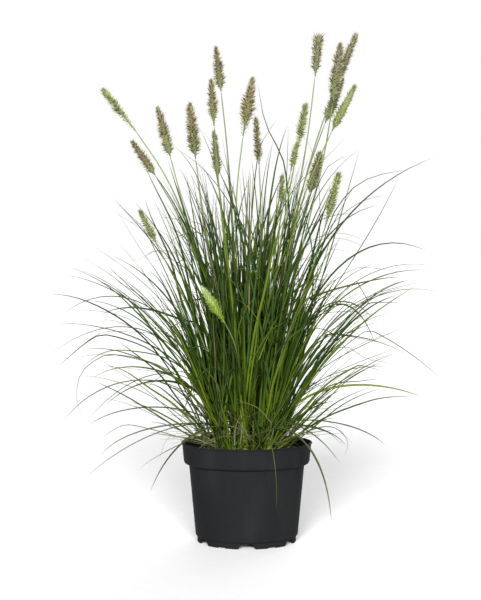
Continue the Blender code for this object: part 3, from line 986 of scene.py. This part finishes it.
# Width and tip depth in millimetres, tone, then the (x, z) points in millimetres.
DRAWN = [
    (4.2, 30, 0.3, (-35, 134), (-80, 215), (-130, 272), (-196, 298), (-226, 292), (-275, 251)),
    (1.8, -30, 0.5, (-28, 134), (-75, 205), (-120, 250), (-190, 270), (-219, 262), (-239, 244), (-246, 219),
     (-244, 194), (-237, 174)),
    (1.9, 60, 0.5, (-25, 134), (-60, 240), (-95, 305), (-127, 333), (-155, 341), (-183, 334), (-210, 313),
     (-217, 277)),
    (3.4, -40, 0.3, (-30, 131), (-59, 141), (-95, 150), (-142, 163), (-178, 168), (-210, 150)),
    (1.7, 20, 0.5, (-20, 134), (-60, 205), (-110, 240), (-178, 251), (-230, 254), (-286, 251)),
    (2.8, -60, 0.8, (-25, 134), (-60, 215), (-110, 262), (-170, 276), (-210, 272), (-246, 245)),
    (2.0, 40, 0.4, (-30, 134), (-85, 240), (-130, 296), (-170, 303), (-215, 300), (-262, 262)),
    (3.3, -20, 0.2, (-30, 134), (-70, 190), (-100, 218), (-130, 232), (-155, 234)),
    (3.6, 40, 0.3, (-34, 134), (-62, 180), (-95, 207), (-123, 212)),
    (2.0, 10, 0.5, (-30, 134), (-80, 300), (-139, 435), (-165, 468), (-193, 496)),
    (2.6, -30, 0.4, (-30, 134), (-85, 290), (-120, 372), (-158, 430), (-192, 487)),
    (2.6, 50, 0.3, (-25, 134), (-60, 290), (-98, 400), (-150, 450), (-196, 478)),
    (3.4, -10, 0.3, (35, 134), (80, 250), (125, 320), (172, 353), (227, 370), (270, 378)),
    (3.2, 30, 0.2, (30, 134), (65, 270), (100, 350), (144, 389), (177, 396), (246, 385)),
    (2.0, 20, 0.5, (35, 134), (90, 215), (140, 270), (190, 296), (243, 304)),
    (2.6, -30, 0.3, (35, 134), (75, 215), (110, 265), (139, 282), (152, 278), (172, 265), (200, 259),
     (233, 251)),
    (2.4, -30, 0.3, (40, 134), (80, 190), (120, 225), (166, 232), (200, 236)),
    (2.2, 20, 0.4, (45, 134), (90, 160), (125, 165), (146, 145), (142, 121)),
    (2.0, -20, 0.4, (45, 134), (75, 165), (110, 162), (145, 135)),
    (2.6, 10, 0.3, (25, 134), (60, 280), (100, 400), (123, 469), (140, 496), (163, 518), (197, 531),
     (238, 537)),
    (2.6, -20, 0.3, (20, 134), (50, 300), (80, 440), (113, 536), (154, 560)),
    (2.4, 30, 0.3, (15, 134), (30, 300), (48, 420), (65, 502), (114, 554), (142, 583)),
    (4.0, -10, 0.1, (30, 134), (50, 300), (62, 440), (55, 541), (36, 584), (25, 610), (15, 665)),
    (3.0, 20, 0.3, (-30, 134), (-10, 300), (5, 450), (18, 565), (45, 610)),
    (4.6, 0, 0.1, (40, 134), (48, 300), (54, 450), (60, 601)),
    (2.6, 40, 0.3, (30, 134), (90, 320), (105, 450), (97, 555), (61, 611)),
    (2.4, -20, 0.4, (30, 134), (90, 320), (135, 470), (163, 568)),
    (5.6, -20, 0.2, (-12, 134), (-40, 300), (-67, 406), (-90, 478), (-114, 552)),
    (5.0, -10, 0.3, (-16, 134), (-36, 300), (-62, 400), (-84, 470), (-100, 520)),
    (4.6, -30, 0.1, (-8, 134), (-44, 290), (-74, 400), (-98, 466), (-108, 508)),
    (2.4, -40, 0.2, (45, 134), (30, 300), (5, 430), (-34, 503), (-70, 545), (-106, 570)),
    (2.0, 20, 0.3, (30, 134), (12, 330), (-10, 460), (-24, 522), (-45, 565), (-67, 599)),
    (2.8, 0, 0.2, (10, 134), (8, 330), (16, 450), (24, 522), (34, 570)),
    (3.6, -50, 0.1, (-20, 134), (-2, 300), (24, 420), (62, 500), (84, 532)),
    (3.2, -45, 0.2, (50, 134), (88, 300), (96, 400), (84, 470), (60, 515)),
]
# Old pale blades that lie over the front of the crown and the rim, in the same form.
LITTER = [
    (2.8, -62, 0.4, (-44, 136), (-70, 147), (-98, 151), (-140, 157)),
    (2.4, -72, 0.5, (-46, 136), (-75, 142), (-100, 148), (-128, 147)),
    (2.0, -76, 0.4, (-30, 136), (-58, 141), (-90, 146), (-112, 139)),
    (1.9, -74, 0.5, (-50, 137), (-20, 165), (15, 186), (55, 197)),
    (1.6, -78, 0.5, (-58, 140), (-30, 153), (0, 159), (30, 150)),
    (1.7, -76, 0.6, (44, 136), (60, 160), (80, 172), (108, 178)),
    (1.5, -80, 0.5, (-18, 137), (-2, 150), (18, 152), (44, 143)),
    (1.4, -72, 0.4, (16, 138), (-6, 160), (-30, 170), (-44, 190)),
    (2.0, -74, 0.5, (36, 138), (66, 150), (98, 158), (128, 160)),
]
drawn_random = random.Random(4)


def draw(bundle, rows, foot_depths, dryness):
    """Add a blade for each row, its foot somewhere between two depths in millimetres."""
    for width, tip_depth, tone, *seen in rows:
        foot_depth = drawn_random.uniform(*foot_depths)
        count = len(seen) - 1
        line = [lined_up(x / 1000, z / 1000, (foot_depth + (tip_depth - foot_depth) * n / count) / 1000)
                for n, (x, z) in enumerate(seen)]
        dry = drawn_random.uniform(*dryness)
        add_blade(bundle, line, width / 1000, tone, dry, drawn_random)


bundle = Bundle()
draw(bundle, DRAWN, (-20.0, 20.0), (0.0, 0.0))
draw(bundle, LITTER, (-56.0, -46.0), (0.35, 0.9))
add_leaves(bundle, "drawn_blades")

# %% [markdown]
# ## Stems
# A flowering stem is round and firm, thicker at its foot, with a slight swelling and a darker ring at each
# node. It follows the frame's centreline, and its radius is within a millimetre of the frame's.

# %% Stalks
NODE_PLACES = (0.28, 0.52, 0.74)
NODE_LENGTH = 0.018
NODE_SWELL = 0.35
INTO_SPIKE = 0.006


def stalk_finish(start, shader):
    along = start.attribute("along")
    tone = start.attribute("tone")
    patch = start.scaled_noise(60.0, 3.0, (1.0, 1.0, 0.3))
    colour = start.node("ValToRGB", {"stops": [
        (0.0, (0.125, 0.165, 0.010)), (0.5, (0.090, 0.140, 0.010)),
        (1.0, (0.110, 0.155, 0.024))]}, {"Fac": along})
    colour = (tone * 0.7).mix(colour, (0.040, 0.066, 0.014))
    node_ring = start.attribute("dry")
    colour = (node_ring * 0.6).mix(colour, (0.050, 0.032, 0.018))
    feed(shader, Base_Color=colour, Roughness=0.45 + patch * 0.15, Normal=patch.bump(0.2, 0.0002))


stalk_mat = finish_material("stalk", stalk_finish)
for name in STEMS:
    bundle = Bundle()
    line = stem_line(name)
    line[0, 2] = STANDING
    line[-1] += (line[-1] - line[-2]) / np.linalg.norm(line[-1] - line[-2]) * INTO_SPIKE
    line = smooth_line(line, STALK.steps)
    t = STALK.shares
    knots = sum(np.exp(-((t - place) / NODE_LENGTH) ** 2) for place in NODE_PLACES)
    half = (0.0014 - 0.0006 * t) * (1.0 + NODE_SWELL * knots)
    bend(bundle, STALK, line, half, half, t * 0.0, leaf_random.random(), 0.0)
    bundle.values["dry"] = [knots[STALK.ring]]
    add_piece(name.replace("culm", "stem"), bundle.mesh(name), stalk_mat, [name])
print("stems:", len(STEMS), "with nodes at", NODE_PLACES)

# %% [markdown]
# ## Flower spikes
# A bottlebrush spike is a stalk closely set with spikelets in a spiral, and each spikelet carries a bunch
# of stiff bristles. Four slightly different spikelets are modelled from small cones, and a hundred to two
# hundred copies of them are set along each spike, pointing outwards and up.

# %% Spikelet template
BRISTLES = 3
VARIANTS = 4


class SpikeletTemplate(Template):
    """A pointed seed body with a few bristles, along Z, one unit long."""

    def __init__(self, rng):
        bm = bmesh.new()
        for depth, foot, low, high in ((0.34, 0.0, 0.05, 0.125), (0.66, 0.34, 0.125, 0.005)):
            body = bmesh.ops.create_cone(bm, cap_ends=False, segments=5, radius1=low, radius2=high,
                                         depth=depth)["verts"]
            bmesh.ops.translate(bm, verts=body, vec=(0, 0, foot + depth / 2))
        for number in range(BRISTLES):
            bristle = bmesh.ops.create_cone(bm, cap_ends=False, segments=3, radius1=0.030, radius2=0.006,
                                            depth=1.0)["verts"]
            bmesh.ops.translate(bm, verts=bristle, vec=(0, 0, 0.5))
            bmesh.ops.scale(bm, verts=bristle, vec=(1, 1, rng.uniform(0.9, 1.35)))
            tilt = Matrix.Rotation(math.radians(rng.uniform(8.0, 26.0)), 3, "X")
            turn = Matrix.Rotation(number * math.tau / BRISTLES + rng.uniform(-0.3, 0.3), 3, "Z")
            bmesh.ops.rotate(bm, verts=bristle, cent=(0, 0, 0), matrix=turn @ tilt)
        bmesh.ops.remove_doubles(bm, verts=bm.verts, dist=1e-4)
        self.keep(bm)


spike_random = random.Random(3)
SPIKELETS = [SpikeletTemplate(spike_random) for _ in range(VARIANTS)]
print("spikelet vertices:", len(SPIKELETS[0].points), "faces:", len(SPIKELETS[0].counts))

# %% [markdown]
# A ripening spike is green at its core and its foot, and its bristle tips turn brown or mauve. Each
# spikelet has a random tone of its own, which gives it painted shade or a painted highlight, and that is what
# makes the brush read as a brush from a distance. The youngest spike is still bright green and silky.

# %% Spike finish
# For each colour of spike: its core, its bristle tips and its foot, and how dark the painted shade and how
# bright the painted highlight of its spikelets are beside the core.
SPIKE_COLOURS = {
    "green_bristle": ((0.195, 0.225, 0.072), (0.300, 0.315, 0.175), (0.230, 0.255, 0.122), 0.40, 1.5),
    "brown_bristle": ((0.205, 0.205, 0.085), (0.190, 0.118, 0.108), (0.220, 0.245, 0.115), 0.22, 2.0),
    "mauve_bristle": ((0.190, 0.195, 0.085), (0.215, 0.163, 0.145), (0.220, 0.245, 0.115), 0.22, 2.0),
}


def bristle_finish(slot):
    core, outer, foot, painted_shade, painted_highlight = SPIKE_COLOURS[slot]

    def build(start, shader):
        along = start.attribute("along")
        tone = start.attribute("tone")
        height = start.attribute("dry")
        patch = start.scaled_noise(90.0, 3.0)
        reach = along + (patch - 0.5) * 0.9
        colour = reach.between(0.20, 0.95).mix(core, outer)
        colour = height.between(0.08, 0.40).mix(foot, colour)
        colour = (height.between(0.75, 1.0) * 0.6).mix(colour, tuple(value * 0.6 for value in core))
        # Painted shade darkens spikelets of low tone towards a dimmed core colour, and a painted highlight
        # lightens those of high tone towards a brightened one.
        colour = tone.between(0.0, 0.6).mix(tuple(value * painted_shade for value in core), colour)
        colour = (tone.between(0.7, 1.0) * 0.6).mix(colour, tuple(value * painted_highlight + 0.02 for value in core))
        feed(shader, Base_Color=colour, Roughness=0.65, Normal=patch.bump(0.2, 0.0003),
             Specular_IOR_Level=0.12)

    return finish_material(slot, build)


def young_finish(start, shader):
    """A spike that has only just left its sheath is bright green, with pale silky hair at its top."""
    height = start.attribute("dry")
    along = start.attribute("along")
    colour = start.node("ValToRGB", {"stops": [
        (0.0, (0.110, 0.175, 0.012)), (0.5, (0.190, 0.265, 0.034)),
        (1.0, (0.340, 0.400, 0.210))]}, {"Fac": height})
    colour = (along.between(0.3, 1.0) * 0.35).mix(colour, (0.28, 0.36, 0.14))
    feed(shader, Base_Color=colour, Roughness=0.55 + along * 0.1, Specular_IOR_Level=0.15)


spike_mats = {slot: bristle_finish(slot) for slot in SPIKE_COLOURS}
young_mat = finish_material("young_bristle", young_finish)
slot_of = {row["node"]: row["material_slot"] for row in frame["record"]["subparts"]}
print("spike finishes:", sorted(spike_mats), "and", young_mat.name)

# %% [markdown]
# The spikelets climb the spike with a sunflower's turn from each to the next, so no rows show. They stand
# out from the core and lean a little towards the tip, and the last few close over it. No two spikes of a
# clump are at the same age, so each has a habit of its own.

# %% Setting the spikelets
SPIKELETS_A_METRE = 2700
CORE_RADIUS = 0.0010
RISE = 0.40
YOUNG_RISE = 1.3
TIP_RISE = 2.2
YOUNG = "spike_20"

# For each spike: how wide it is beside its plain solid, how much of its foot is sparse, how wide its top is
# beside its widest place, and how much of its thickness the solid core fills.
SPIKE_HABITS = [
    (1.15, 0.50, 0.70, 0.20), (1.20, 0.12, 0.65, 0.50), (1.05, 0.25, 0.55, 0.30), (1.30, 0.10, 0.55, 0.50),
    (1.52, 0.15, 0.50, 0.42), (1.25, 0.12, 0.40, 0.42), (1.20, 0.22, 0.60, 0.42), (1.10, 0.12, 0.55, 0.50),
    (1.40, 0.36, 0.42, 0.50), (1.05, 0.12, 0.60, 0.16), (1.50, 0.22, 1.15, 0.48), (1.20, 0.40, 0.55, 0.20),
    (1.20, 0.30, 0.60, 0.30), (1.20, 0.12, 0.70, 0.52), (1.30, 0.12, 0.60, 0.55), (1.30, 0.15, 0.60, 0.60),
    (1.25, 0.15, 0.65, 0.60), (1.55, 0.10, 0.80, 0.60), (1.25, 0.30, 0.60, 0.32), (0.95, 0.30, 0.62, 0.55),
    (1.15, 0.20, 0.60, 0.30),
]


def spike_width(share, sparse, top):
    """How wide the brush is along its length: narrow at its foot, full by its middle, and then narrower or
    wider towards its top."""
    swell = 0.45 + 0.55 * min(1.0, share / max(sparse, 0.05)) ** 1.3
    fall = 1.0 + (top - 1.0) * max(0.0, (share - 0.45) / 0.55) ** 1.3
    return swell * fall


def add_spikelet(bundle, place, heading, size, share, tone):
    template = spike_random.choice(SPIKELETS)
    roll = Matrix.Rotation(spike_random.uniform(0, math.tau), 3, "Z")
    turn = heading.to_track_quat("Z", "Y").to_matrix() @ roll
    places = template.points @ np.array(turn).T * size + np.array(place)
    along = np.clip(template.points[:, 2], 0.0, 1.0)
    bundle.add(template, places, along=along, across=0.0, tone=tone, dry=share)


def add_core(bundle, foot, tip, radius, sparse, top, fill):
    """The solid middle of a spike, about as thin as its stalk at the foot, where the spikelets are sparse."""
    shares = STALK.shares
    axis = (tip - foot).normalized()
    widths = np.array([spike_width(share, sparse, top) for share in shares])
    dense = np.clip(shares / sparse, 0.0, 1.0)
    swelling = (radius * fill * widths - CORE_RADIUS).clip(0.0)
    core_radius = CORE_RADIUS + swelling * dense ** 2 * (1.0 - shares ** 8)
    line = smooth_line([foot - axis * 0.002, (foot + tip) / 2, tip - axis * 0.003], STALK.steps)
    # The core's tone of 0.25 paints it mostly in the spike's painted shade.
    bend(bundle, STALK, line, core_radius, core_radius, shares * 0.0, 0.25, shares[STALK.ring])


def make_brush(name, fullness, sparse, top, fill):
    """A whole spike: its core, and its spikelets from foot to tip."""
    line = stem_line(name)
    foot, tip = Vector(line[0]), Vector(line[-1])
    length = (tip - foot).length
    axis = (tip - foot).normalized()
    side = axis.orthogonal().normalized()
    other = axis.cross(side)
    radius = fullness * max((vert.co - foot - axis * (vert.co - foot).dot(axis)).length
                            for vert in frame["nodes"][name].data.vertices)
    bundle = Bundle()
    add_core(bundle, foot, tip, radius, sparse, top, fill)
    angle = 0.0
    share = 0.0
    count = length * SPIKELETS_A_METRE
    while share < 1.0:
        share += (1.0 + 2.2 * (1.0 - min(share / sparse, 1.0))) / count
        angle += SUNFLOWER
        out = side * math.cos(angle) + other * math.sin(angle)
        rise = YOUNG_RISE if name == YOUNG else RISE
        rise += TIP_RISE * share ** 7 + spike_random.uniform(-0.3, 0.35)
        heading = (out + axis * rise).normalized()
        reach = radius * spike_width(share, sparse, top) * spike_random.uniform(0.76, 1.14)
        start = reach * fill * 0.7
        size = (reach - start) / max(heading.dot(out), 0.55)
        place = foot + axis * (length * share * 0.93) + out * start * (1.0 - share ** 8)
        # This tone sets how much painted shade or painted highlight the spikelet gets.
        tone = spike_random.uniform(0.05, 1.0)
        add_spikelet(bundle, place, heading, size, min(share, 1.0), tone)
    slot = slot_of[name]
    finish = young_mat if name == YOUNG else spike_mats[slot]
    add_piece(name.replace("spike", "brush"), bundle.mesh(name), finish, [name])
    return bundle.used


vertices = [make_brush(name, *habit) for name, habit in zip(SPIKES, SPIKE_HABITS)]
print("spikes:", len(vertices), "vertices in the fullest:", max(vertices))

# %% [markdown]
# ## Dry strands
# Old blades at the foot of the clump dry to thin, pale, curled strands. Each one is a narrow blade whose line
# wanders in a loose curl.

# %% Dry strands
DRY_STRANDS = 14
STRAND_RING = 0.05
CURL_STEPS = 9
dry_random = random.Random(8)
vary = dry_random.uniform


def curled(foot, azimuth, length, lean):
    """A line that turns at random at each step and sinks as it goes, but not into the compost."""
    points = []
    place = np.array(foot, dtype=float)
    turn, tilt = azimuth, lean
    for _ in range(CURL_STEPS):
        points.append(place.copy())
        turn += vary(-38.0, 38.0)
        tilt += vary(-14.0, 26.0)
        a, b = math.radians(turn), math.radians(tilt)
        step = np.array([math.sin(b) * math.cos(a), math.sin(b) * math.sin(a), math.cos(b)])
        place = place + step * length / CURL_STEPS
        place[2] = max(place[2], CROWN_TOP)
    return np.array(points)


bundle = Bundle()
for _ in range(DRY_STRANDS):
    angle = vary(0.0, math.tau)
    foot = (STRAND_RING * math.cos(angle), STRAND_RING * math.sin(angle), STANDING + 0.01)
    line = curled(foot, math.degrees(angle), vary(0.07, 0.16), vary(10.0, 50.0))
    add_blade(bundle, line, vary(0.0009, 0.0016), 0.8, 1.0, dry_random)
add_leaves(bundle, "dry_strands")

# %% [markdown]
# Round the crown lies a tangle of short old blades, some still grey-green and some dry. They are blades as
# well, only short, and they leave the crown at every angle.

# %% Tangle
TANGLE = 160
bundle = Bundle()
for number in range(TANGLE):
    angle = number * SUNFLOWER
    reach = vary(0.028, 0.062)
    start = (reach * math.cos(angle), reach * math.sin(angle), STANDING + vary(0.0, 0.025))
    turn = math.degrees(angle) + dry_random.gauss(0.0, 60.0)
    line = arch(start, turn, vary(0.035, 0.095), vary(15.0, 75.0),
                vary(5.0, 60.0), vary(-50.0, 50.0), power=1.2)
    line[:, 2] = np.maximum(line[:, 2], COMPOST_EDGE + 0.002)
    add_blade(bundle, lift_over_rim(line), vary(0.0010, 0.0024), vary(0.2, 0.9),
              dry_random.choice((0.1, 0.35, 0.7, 0.9)), dry_random)
add_leaves(bundle, "tangle")

# %% [markdown]
# Young side blades are hair-thin and curl in open arcs all through the clump. They catch the light in front
# of the darker blades, which gives the clump its fine texture.

# %% Thin arcs
THIN_ARCS = 90
bundle = Bundle()
for number in range(THIN_ARCS):
    angle = number * SUNFLOWER
    reach = vary(0.02, 0.07)
    height = vary(0.17, 0.44)
    reach += 0.16 * (height - CROWN_TOP)
    start = (reach * math.cos(angle), reach * math.sin(angle), height)
    turn = math.degrees(angle) + vary(-100.0, 100.0)
    line = arch(start, turn, vary(0.05, 0.13), vary(10.0, 50.0),
                vary(60.0, 130.0), vary(-60.0, 60.0), power=1.0)
    add_blade(bundle, line, vary(0.0008, 0.0015), vary(0.3, 0.9),
              dry_random.choice((0.0, 0.0, 0.4)), dry_random)
add_leaves(bundle, "thin_arcs")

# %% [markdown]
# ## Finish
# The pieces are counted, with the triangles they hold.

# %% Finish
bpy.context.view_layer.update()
triangles = sum(len(polygon.vertices) - 2 for piece in pieces_made for polygon in piece.data.polygons)
print("pieces:", len(pieces_made), "triangles:", triangles)
